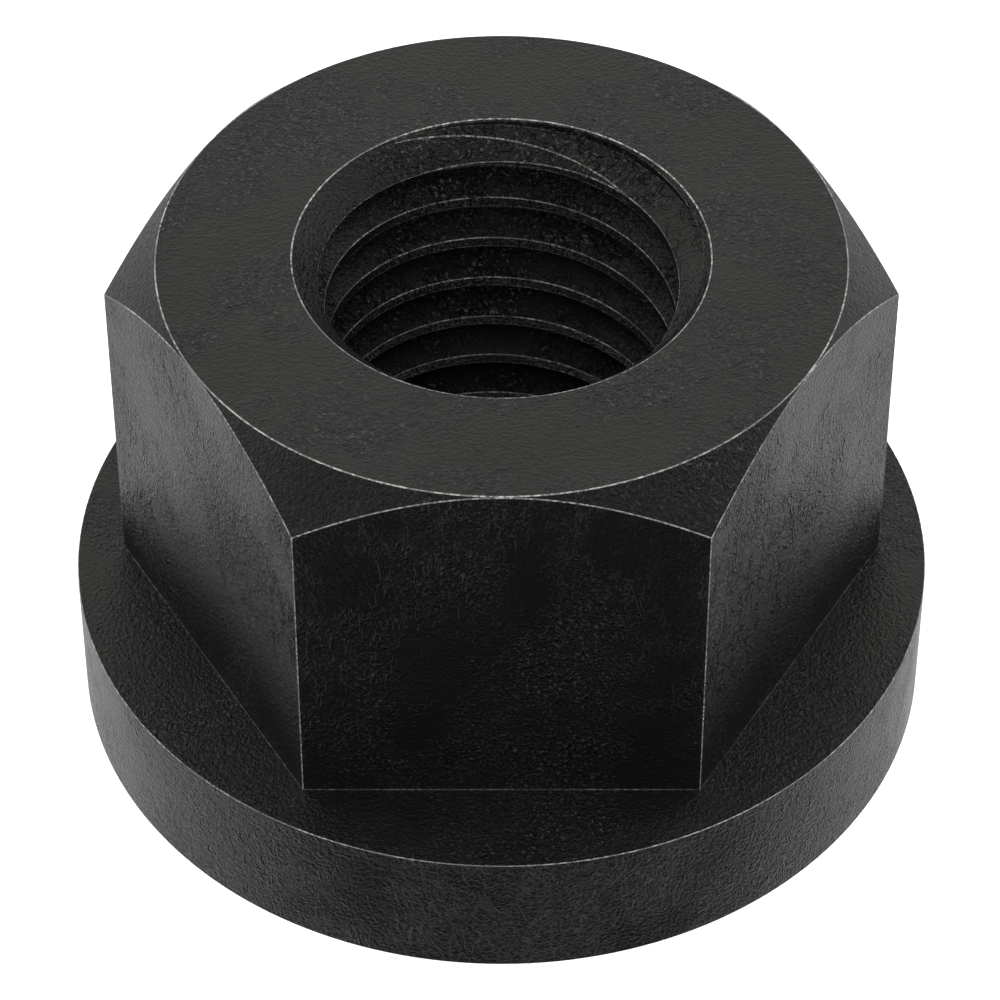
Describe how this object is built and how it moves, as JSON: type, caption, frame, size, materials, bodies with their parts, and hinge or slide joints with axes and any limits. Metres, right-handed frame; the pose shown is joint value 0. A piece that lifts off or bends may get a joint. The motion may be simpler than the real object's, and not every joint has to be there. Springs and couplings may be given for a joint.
{
  "type": "hex flange nut",
  "caption": "Heavy hex nut with a thick plain round flange, corner-chamfered top, countersunk mouths and a coarse right-hand thread.",
  "frame": {"origin": "centre of the flat bearing face under the flange, on the thread's axis", "axes": "+Z along the thread's axis and out through the top face; flats face -Y and +Y, corners lie over the X axis"},
  "size_m": [0.041, 0.041, 0.0258],
  "materials": {
    "blackened_steel": "satin black oxide on forged and machined steel, worn bright on the edges"
  },
  "bodies": {
    "root": {"flange_nut": "blackened_steel"}
  },
  "joints": []
}
